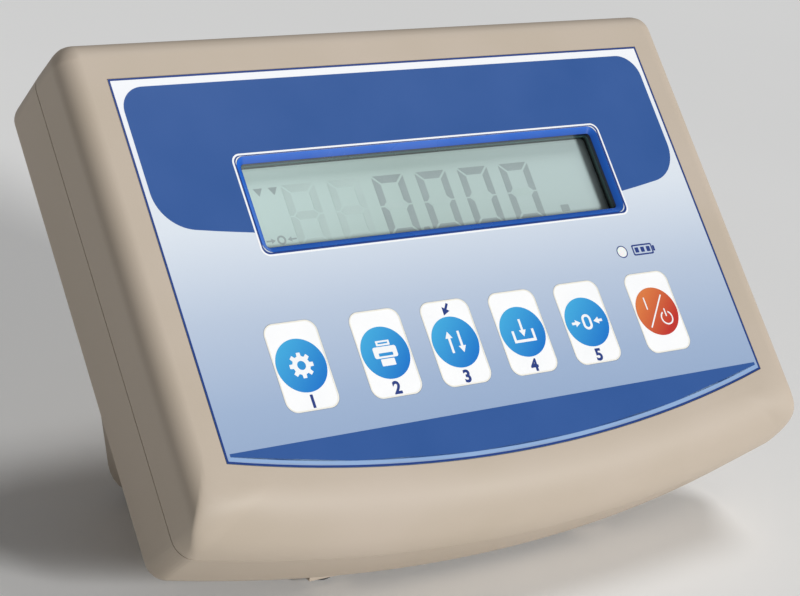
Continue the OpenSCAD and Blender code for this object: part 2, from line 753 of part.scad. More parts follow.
// A screw whose head rests at a depth with its shank running towards the face
module screw(d, head_at, tip_at) difference() {
    union() {
        rod(tip_at, head_at + cut / 2, d);
        rod(head_at, head_at + d * head_height_share, d * head_share);
    }
    for (turn = [0, 90]) rotate(turn)
        slab(head_at + d * head_height_share / 2, head_at + d)
            square([d * recess_share, d * recess_width_share], center = true);
}
module board_screws() color(steel) standing()
    for (p = board_places) at(p.x, p.y) screw(board_screw_d, board_back, board_depth / 2 + cut);
module case_screws() color(steel) standing()
    for (p = case_places) at(p.x, p.y) screw(case_screw_d, seam_depth + post_web, case_screw_end);

// Rear shell: the case's back half with the battery hump, the front feet and the connector row
lip_t = 1.2;
lip_reach = 3;
module seam_lip() {
    slab(seam_depth, seam_depth + lip_reach) difference() {
        case_section(wall - slip);
        case_section(wall + lip_t + slip);
    }
    slab(seam_depth - lip_reach, seam_depth + slip) difference() {
        case_section(wall + slip + lip_t / 4);
        case_section(wall + lip_t + slip);
    }
}
front_post_side = 2;
front_post_end = 1.5;
front_post_w = foot_d + 2 * front_post_side;
front_post_l = foot_d + 2 * front_post_end;
front_foot_depth = (desk_drop - front_foot_drop * sin(tilt)) / cos(tilt);
front_foot_y = towards_back([0, -front_foot_drop, -front_foot_depth]) + desk_shift;
rear_foot_point = hump_point(hump_low_middle, rear_foot_turn, 0);
rear_foot_y = towards_back(rear_foot_point) + desk_shift;
rear_seat = desk_drop - hump_reach + foot_seat;
front_post_height = case_depth;
module front_post(x) intersection() {
    from_desk() translate([x - front_post_w / 2, front_foot_y - front_post_l / 2, foot_stand])
        cube([front_post_w, front_post_l, front_post_height]);
    at(x, front_foot_drop) slab(case_depth - wall * boss_root_share, 2 * case_depth)
        square([2 * front_post_w, case_depth], center = true);
}
insert_boss_d = 9;
insert_outer_d = 6.2;
insert_places = [
    for (side = [-1, 1], drop = [insert_upper_drop, insert_lower_drop]) [side * insert_x, drop]
];
serial_flange_w = 30.8;
serial_flange_h = 12.5;
serial_screw_pitch = 25;
serial_screw_d = 3;
serial_shell_w = 17;
serial_shell_h = 8.6;
serial_shell_r = 2.2;
serial_flange_t = 0.8;
serial_shell_out = 5.8;
serial_body_l = 7;
serial_body_lip = 1;
module rear_cuts() {
    slab(seam_depth - cut, seam_depth + shadow_gap) difference() {
        case_section(-cut);
        case_section(shadow_cut);
    }
    for (p = case_places) at(p.x, p.y) {
        rod(seam_depth - cut, case_depth, case_screw_d + 2 * hole_gap);
        rod(seam_depth + post_web, case_depth + cut, case_screw_d * head_share + 2 * hole_gap);
    }
    for (p = insert_places) at(p.x, p.y)
        rod(case_depth - insert_l, case_depth + cut, insert_outer_d);
    at(serial_x, -row_y) {
        slab(case_depth - wall - cut, case_depth + cut)
            rounded_rect(serial_shell_w + 2 * hole_gap, serial_shell_h + 2 * hole_gap, serial_shell_r);
        for (side = [-1, 1]) translate([side * serial_screw_pitch / 2, 0])
            rod(case_depth - wall - cut, case_depth + cut, serial_screw_d + 2 * hole_gap);
    }
    at(socket_x, -row_y) rod(case_depth - wall - cut, case_depth + cut, socket_d + 2 * hole_gap);
    at(jack_x, -row_y) rod(case_depth - wall - cut, case_depth + cut, jack_d + 2 * hole_gap);
    on_slope() {
        translate([0, 0, -door_t]) linear_extrude(door_t + cut)
            rounded_rect(door_w + 2 * door_gap, door_h + 2 * door_gap, door_r + door_gap);
        translate([0, 0, -door_t - ledge_t - cut]) linear_extrude(door_t + ledge_t + 2 * cut)
            rounded_rect(opening_w, opening_h, opening_r);
        for (p = door_places) translate([p.x, p.y, -door_t - ledge_t - door_boss_l])
            cylinder(h = ledge_t + door_boss_l + cut, d = door_screw_d + 2 * screw_gap);
    }
    from_desk() {
        for (side = [-1, 1]) {
            translate([side * front_foot_x, front_foot_y, 0])
                cylinder(h = foot_stand + foot_seat, d = foot_d + 2 * slip);
            translate([side * rear_foot_x, rear_foot_y, 0])
                cylinder(h = rear_seat, d = foot_d + 2 * slip);
        }
    }
}
module rear_housing() color(putty) standing() difference() {
    union() {
        difference() {
            union() {
                back_form();
                hump_form(0, case_depth - wall * boss_root_share);
                for (side = [-1, 1]) front_post(side * front_foot_x);
            }
            back_hollow();
            hump_form(wall, case_depth - wall - cut);
        }
        seam_lip();
        for (p = case_places) at(p.x, p.y)
            rod(seam_depth, case_depth - wall * (1 - boss_root_share), rear_post_d);
        for (p = insert_places) at(p.x, p.y)
            rod(case_depth - insert_l - wall, case_depth - wall * (1 - boss_root_share), insert_boss_d);
        on_slope() {
            translate([0, 0, -door_t - ledge_t]) linear_extrude(ledge_t + slip)
                rounded_rect(door_w + 2 * door_gap + wall, door_h + 2 * door_gap + wall, door_r);
            for (p = door_places) translate([p.x, p.y, -door_t - ledge_t - door_boss_l - wall])
                cylinder(h = door_boss_l + wall + slip, d = door_boss_d);
            for (side = [-1, 1])
                translate([
                    side * battery_l / 3 - cradle_w / 2,
                    -opening_h / 2 - cradle_t - slip,
                    -battery_face - cradle_reach
                ])
                cube([cradle_w, cradle_t, cradle_reach + pad_t]);
        }
        for (p = rear_board_places) at(p.x, p.y) {
            rod(rear_board_back, case_depth - wall * (1 - boss_root_share), rear_board_post_d);
        }
    }
    rear_cuts();
    for (p = rear_board_places) at(p.x, p.y)
        rod(rear_board_back - cut, case_depth - wall, board_screw_d + 2 * screw_gap);
}

// Battery, its tabs, its pad and its door
tab_w = 4.8;
tab_plate_t = 0.8;
tab_l = 6.3;
tab_pitch = 24;
battery_r = 1.5;
module battery() color("#3A3D42") standing() on_slope()
    translate([0, 0, -battery_face - battery_t]) linear_extrude(battery_t)
        rounded_rect(battery_l, battery_h, battery_r);
module battery_terminals() color(tin) standing() on_slope()
    for (side = [0, 1]) translate([
        battery_l / 2 - tab_w - side * tab_pitch - tab_w / 2,
        battery_h / 2,
        -battery_face - battery_t / 2
    ]) cube([tab_w, tab_l, tab_plate_t]);
module battery_pad() color("#55585C") standing() on_slope()
    translate([0, 0, -battery_face]) linear_extrude(pad_t)
        rounded_rect(battery_l * 5 / 6, battery_h * 2 / 3, battery_r);
door_grip_w = 40;
door_grip_pitch = 3;
door_grip_d = 0.6;
module battery_door() color(putty) standing() on_slope() difference() {
    translate([0, 0, -door_t]) linear_extrude(door_t) rounded_rect(door_w, door_h, door_r);
    for (p = door_places) translate([p.x, p.y, -door_t - cut]) {
        cylinder(h = door_t + 2 * cut, d = door_screw_d + 2 * hole_gap);
        translate([0, 0, cut + door_t / 2])
            cylinder(h = door_t, d = door_screw_d * head_share + 2 * hole_gap);
    }
    for (i = [-2:2]) translate([0, i * door_grip_pitch, 0])
        cube([door_grip_w, door_grip_pitch / 2, 2 * door_grip_d], center = true);
}
module door_screws() color(steel) standing() on_slope() for (p = door_places)
    translate([p.x, p.y, 0]) mirror([0, 0, 1])
        screw_out(door_screw_d, door_t / 2, door_t + ledge_t + door_boss_l - cut);
// A screw whose head rests at a depth below the slope with its shank running inwards
module screw_out(d, head_at, tip_at) difference() {
    union() {
        translate([0, 0, head_at - cut / 4]) cylinder(h = tip_at - head_at, d = d);
        translate([0, 0, head_at - door_t / 2]) cylinder(h = door_t / 2, d = d * head_share);
    }
    for (turn = [0, 90]) rotate(turn) translate([0, 0, head_at - door_t / 2])
        cube([d * recess_share, d * recess_width_share, door_t / 2], center = true);
}

// Rubber feet, standing on the desk
module rubber_feet() color(black) for (side = [-1, 1]) {
    translate([side * front_foot_x, front_foot_y, 0]) foot(foot_stand + foot_seat);
    translate([side * rear_foot_x, rear_foot_y, 0]) foot(rear_seat);
}
foot_chamfer = 0.6;
module foot(h) {
    cylinder(h = foot_chamfer, d1 = foot_d - 2 * foot_chamfer, d2 = foot_d);
    translate([0, 0, foot_chamfer]) cylinder(h = h - foot_chamfer, d = foot_d);
}

// Brass inserts for a wall or column bracket
module bracket_inserts() color(brass) standing() for (p = insert_places) at(p.x, p.y)
    difference() {
        rod(case_depth - insert_l, case_depth, insert_outer_d - 2 * slip);
        rod(case_depth - insert_l - cut, case_depth + cut, insert_d);
    }

// Rear connectors and the small board that carries the serial connector and the jack
serial_front = case_depth - wall - serial_flange_t;
rear_board_back = serial_front - serial_body_l;
rear_board_depth = rear_board_back - board_t;
rear_board_post_d = 5.5;
rear_board_h = 16;
rear_board_post_x = serial_flange_w / 2 - serial_x + rear_board_post_d / 2 + cut;
rear_board_end = rear_board_post_x + rear_board_post_d / 2 + cut;
socket_lap = 1;
rear_board_places = [for (side = [-1, 1]) [side * rear_board_post_x, -row_y]];
module rear_board() color(board_green) standing() difference() {
    at(0, -row_y) slab(rear_board_depth, rear_board_back)
        rounded_rect(2 * rear_board_end, rear_board_h, board_t);
    for (p = rear_board_places) at(p.x, p.y)
        rod(rear_board_depth - cut, rear_board_back + cut, board_screw_d + 2 * hole_gap);
    at(socket_x, -row_y)
        rod(rear_board_depth - cut, rear_board_back + cut, socket_d - 2 * socket_lap);
}
serial_hole_d = 1.1;
serial_hole_pitch = 2.76;
serial_row_gap = 2.84;
serial_hole_l = 4;
module serial_connector() color(steel) standing() at(serial_x, -row_y) difference() {
    union() {
        slab(rear_board_back, serial_front)
            rounded_rect(
                serial_shell_w + 2 * serial_body_lip,
                serial_flange_h - 2 * serial_body_lip,
                serial_shell_r
            );
        slab(serial_front, serial_front + serial_flange_t)
            rounded_rect(serial_flange_w, serial_flange_h, serial_flange_t);
        slab(serial_front, case_depth + serial_shell_out)
            rounded_rect(serial_shell_w, serial_shell_h, serial_shell_r);
    }
    for (side = [-1, 1]) translate([side * serial_screw_pitch / 2, 0])
        rod(serial_front - cut, case_depth, serial_screw_d + 2 * screw_gap);
    for (row = [0, 1], i = [0:4 - row])
        translate([(i - 2 + row / 2) * serial_hole_pitch, (0.5 - row) * serial_row_gap])
            rod(case_depth + serial_shell_out - serial_hole_l, case_depth + serial_shell_out + cut,
                serial_hole_d);
}
jackscrew_af = 5;
jackscrew_out = 5;
jackscrew_thread_d = 2.4;
module serial_jackscrews() color(brass) standing() for (side = [-1, 1])
    at(serial_x + side * serial_screw_pitch / 2, -row_y) difference() {
        union() {
            rod(serial_front - cut, case_depth + cut, serial_screw_d);
            translate([0, 0, -case_depth - jackscrew_out])
                cylinder(h = jackscrew_out, d = jackscrew_af / cos(30), $fn = 6);
        }
        rod(case_depth + cut, case_depth + jackscrew_out + cut, jackscrew_thread_d);
    }
socket_flange_d = 18;
socket_flange_t = 2;
socket_body_l = 6;
socket_rim = 1.3;
socket_face = 1;
socket_pin_d = 1.6;
socket_pin_ring_d = 7;
socket_pin_count = 6;
module load_cell_socket() color(steel) standing() at(socket_x, -row_y) difference() {
    union() {
        rod(case_depth - wall - socket_flange_t, case_depth - wall, socket_flange_d);
        rod(case_depth - wall - socket_body_l, case_depth + socket_out, socket_d);
    }
    rod(case_depth + socket_out - socket_face, case_depth + socket_out + cut,
        socket_d - 2 * socket_rim);
    for (i = [0:socket_pin_count - 1]) rotate(i * 360 / socket_pin_count)
        translate([socket_pin_ring_d / 2, 0])
            rod(case_depth + socket_out / 3, case_depth + socket_out, socket_pin_d);
}
socket_nut_af = 18;
socket_nut_t = 2.4;
module socket_nut() color(tin) standing() at(socket_x, -row_y) difference() {
    translate([0, 0, -case_depth - socket_nut_t])
        cylinder(h = socket_nut_t, d = socket_nut_af / cos(30), $fn = 6);
    rod(case_depth - cut, case_depth + socket_nut_t + cut, socket_d + 2 * slip);
}
jack_body_w = 11;
jack_pin_d = 2;
jack_bore_l = 9;
module supply_jack() color(black) standing() at(jack_x, -row_y) {
    difference() {
        union() {
            slab(rear_board_back, case_depth - wall) square(jack_body_w, center = true);
            rod(case_depth - wall - slip, case_depth + jack_out, jack_d);
        }
        rod(case_depth + jack_out - jack_bore_l, case_depth + jack_out + cut, jack_bore_d);
    }
    rod(case_depth + jack_out - jack_bore_l - cut, case_depth + jack_out - cut, jack_pin_d);
}
jack_nut_af = 11;
jack_nut_t = 2;
module jack_nut() color(tin) standing() at(jack_x, -row_y) difference() {
    translate([0, 0, -case_depth - jack_nut_t])
        cylinder(h = jack_nut_t, d = jack_nut_af / cos(30), $fn = 6);
    rod(case_depth - cut, case_depth + jack_nut_t + cut, jack_d + 2 * slip);
}
// Ribbon that links the two boards, bent once
link_w = 22;
link_t = 0.9;
link_x = -10;
link_lap = 4;
module board_link() color("#8B8F94") standing() {
    y_high = row_y - rear_board_h / 2;
    translate([link_x - link_w / 2, 0, 0]) rotate([90, 0, 90]) linear_extrude(link_w) {
        translate([y_high, -rear_board_depth]) square([link_lap, link_t]);
        translate([-board_top - link_lap, -board_back - link_t]) square([link_lap, link_t]);
        polygon([
            [y_high, -rear_board_depth],
            [y_high, link_t - rear_board_depth],
            [-board_top, -board_back],
            [-board_top, -board_back - link_t]
        ]);
    }
}

front_housing();
rear_housing();
front_overlay();
window_bezel();
window_lens();
lcd_glass();
lcd_backlight();
lcd_contacts();
main_board();
microcontroller();
converter_shield();
crystal();
capacitors();
voltage_regulator();
heat_sink();
buzzer();
switch_bodies();
key(0, white);  // set_key
key(1, white);  // print_key
key(2, white);  // net_key
key(3, white);  // tare_key
key(4, white);  // zero_key
key(5, white);  // power_key
switch_stem(0);  // set_stem
switch_stem(1);  // print_stem
switch_stem(2);  // net_stem
switch_stem(3);  // tare_stem
switch_stem(4);  // zero_stem
switch_stem(5);  // power_stem
charge_led();
light_pipe();
board_screws();
case_screws();
battery();
battery_terminals();
battery_pad();
battery_door();
door_screws();
rubber_feet();
bracket_inserts();
rear_board();
serial_connector();
serial_jackscrews();
load_cell_socket();
socket_nut();
supply_jack();
jack_nut();
board_link();
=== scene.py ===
import json
import math

import bmesh
import bpy
from mathutils import Matrix, Vector
from mathutils.geometry import tessellate_polygon

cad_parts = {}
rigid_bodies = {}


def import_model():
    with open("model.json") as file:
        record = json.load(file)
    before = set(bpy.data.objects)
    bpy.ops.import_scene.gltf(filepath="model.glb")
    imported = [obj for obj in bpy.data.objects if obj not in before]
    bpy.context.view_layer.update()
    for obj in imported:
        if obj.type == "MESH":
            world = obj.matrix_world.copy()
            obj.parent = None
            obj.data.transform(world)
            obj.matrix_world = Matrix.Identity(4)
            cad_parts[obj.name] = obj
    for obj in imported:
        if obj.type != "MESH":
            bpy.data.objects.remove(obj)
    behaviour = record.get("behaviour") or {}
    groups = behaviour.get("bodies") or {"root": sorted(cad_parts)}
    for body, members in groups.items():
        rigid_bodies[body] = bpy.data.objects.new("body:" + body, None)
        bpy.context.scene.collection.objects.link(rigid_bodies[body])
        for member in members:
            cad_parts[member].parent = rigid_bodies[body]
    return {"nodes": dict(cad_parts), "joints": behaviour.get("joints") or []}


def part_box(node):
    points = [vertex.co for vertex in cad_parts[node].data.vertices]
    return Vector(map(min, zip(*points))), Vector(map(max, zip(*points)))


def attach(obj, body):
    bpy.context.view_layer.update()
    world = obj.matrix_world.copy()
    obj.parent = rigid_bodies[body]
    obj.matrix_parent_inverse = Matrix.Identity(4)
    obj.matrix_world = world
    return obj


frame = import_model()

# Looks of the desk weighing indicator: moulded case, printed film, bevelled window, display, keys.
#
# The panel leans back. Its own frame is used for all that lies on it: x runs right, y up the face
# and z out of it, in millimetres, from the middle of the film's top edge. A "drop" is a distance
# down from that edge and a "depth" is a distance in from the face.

MM = 0.001

for leftover in [o for o in bpy.data.objects if o.name in ("Cube", "Light", "Camera")]:
    bpy.data.objects.remove(leftover)
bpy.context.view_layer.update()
scene = bpy.context.scene


# The panel's frame and the places on it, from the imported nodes

FILM_T = 0.5
press_axis = Vector(frame["joints"][0]["axis"])
TILT = math.atan2(press_axis.y, -press_axis.z)
film_low, film_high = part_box("front_overlay")
DATUM = Vector((
    (film_low.x + film_high.x) / 2,
    film_high.y - FILM_T * MM * math.sin(TILT),
    film_high.z,
))
PANEL = Matrix.Translation(DATUM) @ Matrix.Rotation(TILT, 4, "X")
FROM_PANEL = PANEL.inverted()


def panel_span(node):
    """Lowest and highest corner of a CAD node in the panel's frame."""
    points = [FROM_PANEL @ v.co / MM for v in frame["nodes"][node].data.vertices]
    return [Vector([pick(p[i] for p in points) for i in range(3)]) for pick in (min, max)]


def middle(node):
    """Middle of a CAD node on the panel."""
    low, high = panel_span(node)
    return Vector(((low.x + high.x) / 2, (low.y + high.y) / 2))


KEYS = ["set", "print", "net", "tare", "zero", "power"]
FILM_LOW, FILM_HIGH = panel_span("front_overlay")
FILM_HALF = FILM_HIGH.x
FILM_DROP = -FILM_LOW.y
FILM_SIDE = 119.6
FILM_BOW_R = (FILM_HALF ** 2 + (FILM_DROP - FILM_SIDE) ** 2) / (2 * (FILM_DROP - FILM_SIDE))
FILM_BOW_Y = FILM_BOW_R - FILM_DROP
WINDOW = middle("window_bezel")
BEZEL_W = 136.8
BEZEL_H = 31.2
BEZEL_R = 2.4
BEZEL_GAP = 0.3
BEVEL_DEPTH = 1.4
LENS_DEPTH = 5.0
GLASS_LOW, GLASS_HIGH = panel_span("lcd_glass")
LAMP = middle("light_pipe")


# Materials

def linear(code):
    """A linear colour from an sRGB hex code."""
    channels = [int(code[i:i + 2], 16) / 255 for i in (1, 3, 5)]
    return [c / 12.92 if c <= 0.04045 else ((c + 0.055) / 1.055) ** 2.4 for c in channels] + [1.0]


def per(size):
    """Texture scale at which one feature of a pattern measures this many millimetres."""
    return 1 / (size * MM)


def add(tree, kind, settings=None, inputs=None, stops=()):
    """Adds a node with its settings, the values or links on its inputs and a ramp's colour stops."""
    node = tree.nodes.new(kind)
    for name, value in (settings or {}).items():
        setattr(node, name, value)
    for name, value in (inputs or {}).items():
        if isinstance(value, bpy.types.NodeSocket):
            tree.links.new(value, node.inputs[name])
        else:
            node.inputs[name].default_value = value
    for i, (place, code) in enumerate(stops):
        elements = node.color_ramp.elements
        element = elements[i] if i < len(elements) else elements.new(place)
        element.position = place
        element.color = linear(code)
    return node


def panel_place(tree):
    """Panel coordinates on a CAD node, whose own coordinates are the desk's."""
    place = add(tree, "ShaderNodeTexCoord").outputs["Object"]
    turned = add(tree, "ShaderNodeMapping", {"vector_type": "TEXTURE"},
                 {"Vector": place, "Location": DATUM, "Rotation": (TILT, 0, 0)})
    return add(tree, "ShaderNodeSeparateXYZ", None, {"Vector": turned.outputs["Vector"]})


def finish(name, tones, roughness, grain, relief, patch=25.0, stretch=(1, 1, 1), paint=None,
           shader=None):
    """A surface with a fine grain and broad, faint patches of tone and gloss.

    tones and roughness are pairs that the patches run between. grain and patch are sizes and
    relief is the grain's height, in mm. paint(tree) gives a colour that takes the tones' place.
    """
    material = bpy.data.materials.new(name)
    material.use_nodes = True
    tree = material.node_tree
    tree.nodes.clear()
    place = add(tree, "ShaderNodeTexCoord").outputs["Object"]
    drawn = add(tree, "ShaderNodeMapping", None, {"Vector": place, "Scale": stretch})
    fine = add(tree, "ShaderNodeTexNoise", None,
               {"Vector": drawn.outputs["Vector"], "Scale": per(grain), "Detail": 2.0})
    broad = add(tree, "ShaderNodeTexNoise", None,
                {"Vector": drawn.outputs["Vector"], "Scale": per(patch), "Detail": 3.0})
    if paint:
        colour = paint(tree)
    else:
        colour = add(tree, "ShaderNodeValToRGB", None, {"Fac": broad.outputs["Fac"]},
                     stops=[(0.3, tones[0]), (0.7, tones[1])]).outputs["Color"]
    gloss = add(tree, "ShaderNodeMapRange", None, {
        "Value": broad.outputs["Fac"], "From Min": 0.3, "From Max": 0.7,
        "To Min": roughness[0], "To Max": roughness[1],
    })
    bump = add(tree, "ShaderNodeBump", None,
               {"Height": fine.outputs["Fac"], "Distance": relief * MM})
    body = add(tree, "ShaderNodeBsdfPrincipled", None, {
        "Base Color": colour, "Roughness": gloss.outputs["Result"],
        "Normal": bump.outputs["Normal"], **(shader or {}),
    })
    add(tree, "ShaderNodeOutputMaterial", None, {"Surface": body.outputs["BSDF"]})
    return material


def film_tint(tree):
    """White at the top that turns to a greyish blue towards the bowed edge."""
    drop = add(tree, "ShaderNodeMapRange", None, {
        "Value": panel_place(tree).outputs["Y"],
        "From Min": 0.0, "From Max": -FILM_DROP * MM, "To Min": 0.0, "To Max": 1.0,
    })
    return add(tree, "ShaderNodeValToRGB", None, {"Fac": drop.outputs["Result"]}, stops=[
        (0.0, "#F6F8FB"), (0.38, "#DDE5EE"), (0.6, "#BBC9DD"), (0.8, "#A1B5D2"), (1.0, "#8FA6C8"),
    ]).outputs["Color"]


def bezel_blue_and_painted_recess_shade(tree):
    """Bright blue on the bevel; painted shade down the walls of the recess, in dark steps round a
    grey-green band.
    """
    depth = add(tree, "ShaderNodeMapRange", None, {
        "Value": panel_place(tree).outputs["Z"],
        "From Min": 0.0, "From Max": -LENS_DEPTH * MM, "To Min": 0.0, "To Max": 1.0,
    })
    lip = BEVEL_DEPTH / LENS_DEPTH
    # Past the lip the stops are painted shade: dark steps down the recess walls, with a grey-green
    # band between them
    return add(tree, "ShaderNodeValToRGB", None, {"Fac": depth.outputs["Result"]}, stops=[
        (0.0, "#246AD0"), (lip - 0.02, "#1A57B8"), (lip, "#0A0F24"), (0.5, "#10203A"),
        (0.56, "#41605F"), (0.74, "#37524F"), (0.8, "#0C1416"), (1.0, "#0A1012"),
    ]).outputs["Color"]


def polariser_with_painted_light(tree):
    """Grey-green, with painted light that makes it lighter on the left than through the middle and
    right.
    """
    place = add(tree, "ShaderNodeTexCoord").outputs["Object"]
    parts = add(tree, "ShaderNodeSeparateXYZ", None, {"Vector": place})
    across = add(tree, "ShaderNodeMapRange", None, {
        "Value": parts.outputs["X"],
        "From Min": GLASS_LOW.x * MM, "From Max": GLASS_HIGH.x * MM, "To Min": 0.0, "To Max": 1.0,
    })
    # Painted light: the left end of the display is lighter than the middle and right
    return add(tree, "ShaderNodeValToRGB", None, {"Fac": across.outputs["Result"]}, stops=[
        (0.0, "#C2D8D4"), (0.45, "#B4C9C4"), (1.0, "#BACCCB"),
    ]).outputs["Color"]


def slanted_tint(light, deep, reach):
    """A print that deepens from its upper left to its lower right."""
    def paint(tree):
        place = add(tree, "ShaderNodeTexCoord").outputs["Object"]
        parts = add(tree, "ShaderNodeSeparateXYZ", None, {"Vector": place})
        along = add(tree, "ShaderNodeMath", {"operation": "SUBTRACT"},
                    {0: parts.outputs["X"], 1: parts.outputs["Y"]})
        share = add(tree, "ShaderNodeMapRange", None, {
            "Value": along.outputs["Value"], "From Min": -reach * MM, "From Max": reach * MM,
            "To Min": 0.0, "To Max": 1.0,
        })
        return add(tree, "ShaderNodeValToRGB", None, {"Fac": share.outputs["Result"]},
                   stops=[(0.0, light), (1.0, deep)]).outputs["Color"]
    return paint


def copper_tracks(tree):
    """Pale tracks under the lacquer, laid on a grid."""
    place = add(tree, "ShaderNodeTexCoord").outputs["Object"]
    grid = add(tree, "ShaderNodeTexBrick", None, {
        "Vector": place, "Color1": linear("#1F5A34"), "Color2": linear("#235F38"),
        "Mortar": linear("#3C7F4C"), "Scale": per(10.0), "Mortar Size": 0.02,
    })
    return grid.outputs["Color"]


# ABS from a spark-eroded mould: a fine matt grain that spreads each highlight. The real grain is
# about 0.25 mm and is drawn coarser so that it shows.
case_abs = finish("spark_eroded_ABS", ["#BDAF9D", "#C2B4A4"], [0.52, 0.6], 0.7, 0.012, 40.0)
# The film's fine texture scatters its shine, so that it veils the print less than a smooth one
FILM_GLOSS = {"Specular IOR Level": 0.35}
# Polyester film, fine-textured on its face: a satin gloss over the tint printed behind it
printed_polyester = finish("textured_polyester_film", None, [0.28, 0.34], 0.5, 0.004, 30.0,
                           paint=film_tint, shader=FILM_GLOSS)
# Screen-printed inks seen through the same film: flat, dense colour with the film's satin gloss
field_ink = finish("screen_printed_blue_ink", ["#305899", "#335B9D"], [0.28, 0.34], 0.5, 0.004,
                   30.0, shader=FILM_GLOSS)
line_ink = finish("screen_printed_dark_blue_ink", ["#1F3E83", "#224188"], [0.28, 0.34], 0.5, 0.004,
                  30.0, shader=FILM_GLOSS)
stripe_ink = finish("screen_printed_light_blue_ink", ["#8FADD6", "#95B3DB"], [0.28, 0.34], 0.5,
                    0.004, 30.0, shader=FILM_GLOSS)
white_ink = finish("screen_printed_white_ink", ["#F4F6F8", "#FAFBFC"], [0.36, 0.42], 0.5, 0.004,
                   30.0, shader=FILM_GLOSS)
cream_ink = finish("screen_printed_cream_ink", ["#EFECDF", "#F3F0E6"], [0.36, 0.42], 0.5, 0.004,
                   30.0, shader=FILM_GLOSS)
legend_ink = finish("screen_printed_navy_ink", ["#22397F", "#263E86"], [0.36, 0.42], 0.5, 0.004,
                    30.0, shader=FILM_GLOSS)
key_ink = finish("halftone_blue_ink", None, [0.3, 0.36], 0.5, 0.004, 30.0,
                 paint=slanted_tint("#40AADF", "#1577CC", 11.0), shader=FILM_GLOSS)
power_ink = finish("halftone_red_ink", None, [0.3, 0.36], 0.5, 0.004, 30.0,
                   paint=slanted_tint("#DD7A42", "#C2322A", 9.0), shader=FILM_GLOSS)
# Embossed polyester over white ink: bright, with a slightly softer gloss than the flat film
key_polyester = finish("embossed_polyester_film", ["#FAFBFC", "#FEFEFE"], [0.34, 0.42], 0.6, 0.005,
                       12.0, shader=FILM_GLOSS)
# ABS from a polished mould: a clear, even gloss on the bevel, and painted shade down the walls of
# the recess
bezel_abs = finish("polished_ABS", None, [0.22, 0.3], 0.8, 0.002, 20.0, paint=bezel_blue_and_painted_recess_shade)
# Polycarbonate sheet, hard coated: almost unseen, with a thin gloss of its own
lens_polycarbonate = finish("hard_coated_polycarbonate", ["#DDE6E2", "#E4ECE9"], [0.06, 0.1], 3.0,
                            0.001, 40.0, shader={"Alpha": 0.03, "IOR": 1.58})
# Polariser laminated on the display's glass: grey-green with a faint sheen, and painted light that
# makes its left side lighter
polariser = finish("laminated_polariser", None, [0.3, 0.36], 1.5, 0.002, 30.0,
                   paint=polariser_with_painted_light)
# Liquid crystal that is switched on: a soft grey with the polariser's green in it
lit_segment = finish("switched_liquid_crystal", ["#97A6A6", "#9DACAC"], [0.3, 0.36], 1.5, 0.002, 8.0)
# Liquid crystal that is off still shades the glass a little when seen from the side
off_segment = finish("unswitched_liquid_crystal", ["#B3C7C3", "#B7CBC7"], [0.3, 0.36], 1.5, 0.002,
                     8.0)
# Opal acrylic, moulded: a milky white that glows softly at its rim
opal_acrylic = finish("moulded_opal_acrylic", ["#F3F4F1", "#F9FAF8"], [0.2, 0.26], 0.6, 0.002, 6.0,
                      shader={"Subsurface Weight": 0.2, "Subsurface Scale": 1.5 * MM})
# Glass-filled PBT, moulded: dull black with pale specks of fibre
black_pbt = finish("moulded_glass_filled_PBT", ["#17191B", "#202326"], [0.48, 0.6], 0.4, 0.01, 5.0)
# Epoxy-glass laminate under green lacquer: glossy over pale tracks
lacquered_laminate = finish("lacquered_epoxy_glass", None, [0.3, 0.4], 0.8, 0.006, 15.0,
                            paint=copper_tracks)
# Steel strip, rolled and hot tinned: soft grey shine with streaks along the rolling
tinned_steel = finish("rolled_tinned_steel", ["#B4B7BA", "#C4C7CA"], [0.26, 0.38], 0.5, 0.003, 8.0,
                      (1, 6, 1), shader={"Metallic": 1.0})
# Steel, headed and zinc plated: bright with a faint blue-grey bloom
zinc_steel = finish("zinc_plated_steel", ["#A9ADB2", "#BCC0C4"], [0.28, 0.42], 0.35, 0.004, 3.0,
                    shader={"Metallic": 1.0})
# Brass shells, drawn and nickel plated: warm silver with a clear gloss
nickel_plate = finish("drawn_nickel_plate", ["#BDBAB2", "#CBC8C1"], [0.18, 0.28], 0.5, 0.002, 6.0,
                      (1, 1, 5), shader={"Metallic": 1.0})
# Brass, turned from bar: yellow, with the tool's fine marks
turned_brass = finish("turned_brass", ["#B5913F", "#C9A651"], [0.22, 0.34], 0.3, 0.004, 4.0,
                      (1, 1, 6), shader={"Metallic": 1.0})
# Aluminium, extruded and black anodised: matt, with a metal's edge to its highlight
anodised_aluminium = finish("black_anodised_aluminium", ["#1E2023", "#292C30"], [0.4, 0.52], 0.4,
                            0.004, 8.0, (1, 1, 5), shader={"Metallic": 0.6})
# PET sleeve, heat shrunk over the cans: smooth and dark blue
shrink_sleeve = finish("heat_shrunk_PET_sleeve", ["#1B2A45", "#223454"], [0.24, 0.34], 1.2,
                       0.01, 6.0)
# Epoxy, cast and tinted red: clear at the rim and deep in the middle
tinted_epoxy = finish("cast_tinted_epoxy", ["#B8352C", "#C8443A"], [0.1, 0.16], 1.0, 0.002, 4.0,
                      shader={"Transmission Weight": 0.4})
# ABS battery box, welded: plain dark grey with a light grain
battery_abs = finish("moulded_battery_ABS", ["#33363B", "#3B3F44"], [0.45, 0.55], 0.6, 0.01, 20.0)
# Polyethylene foam, cut from sheet: matt, with open cells on the cut
cut_foam = finish("cut_polyethylene_foam", ["#45484C", "#54575B"], [0.85, 0.95], 0.8, 0.12, 6.0)
# Rubber feet, compression moulded: near black and dull, with a dusty bloom
moulded_rubber = finish("compression_moulded_rubber", ["#18191A", "#242526"], [0.7, 0.85], 0.5,
                        0.02, 5.0)
# PVC ribbon, extruded: ribbed lengthways over its conductors
ribbon_pvc = finish("extruded_ribbon_PVC", ["#85898E", "#92969B"], [0.4, 0.5], 1.27, 0.05, 12.0,
                    (1, 0.05, 0.05))

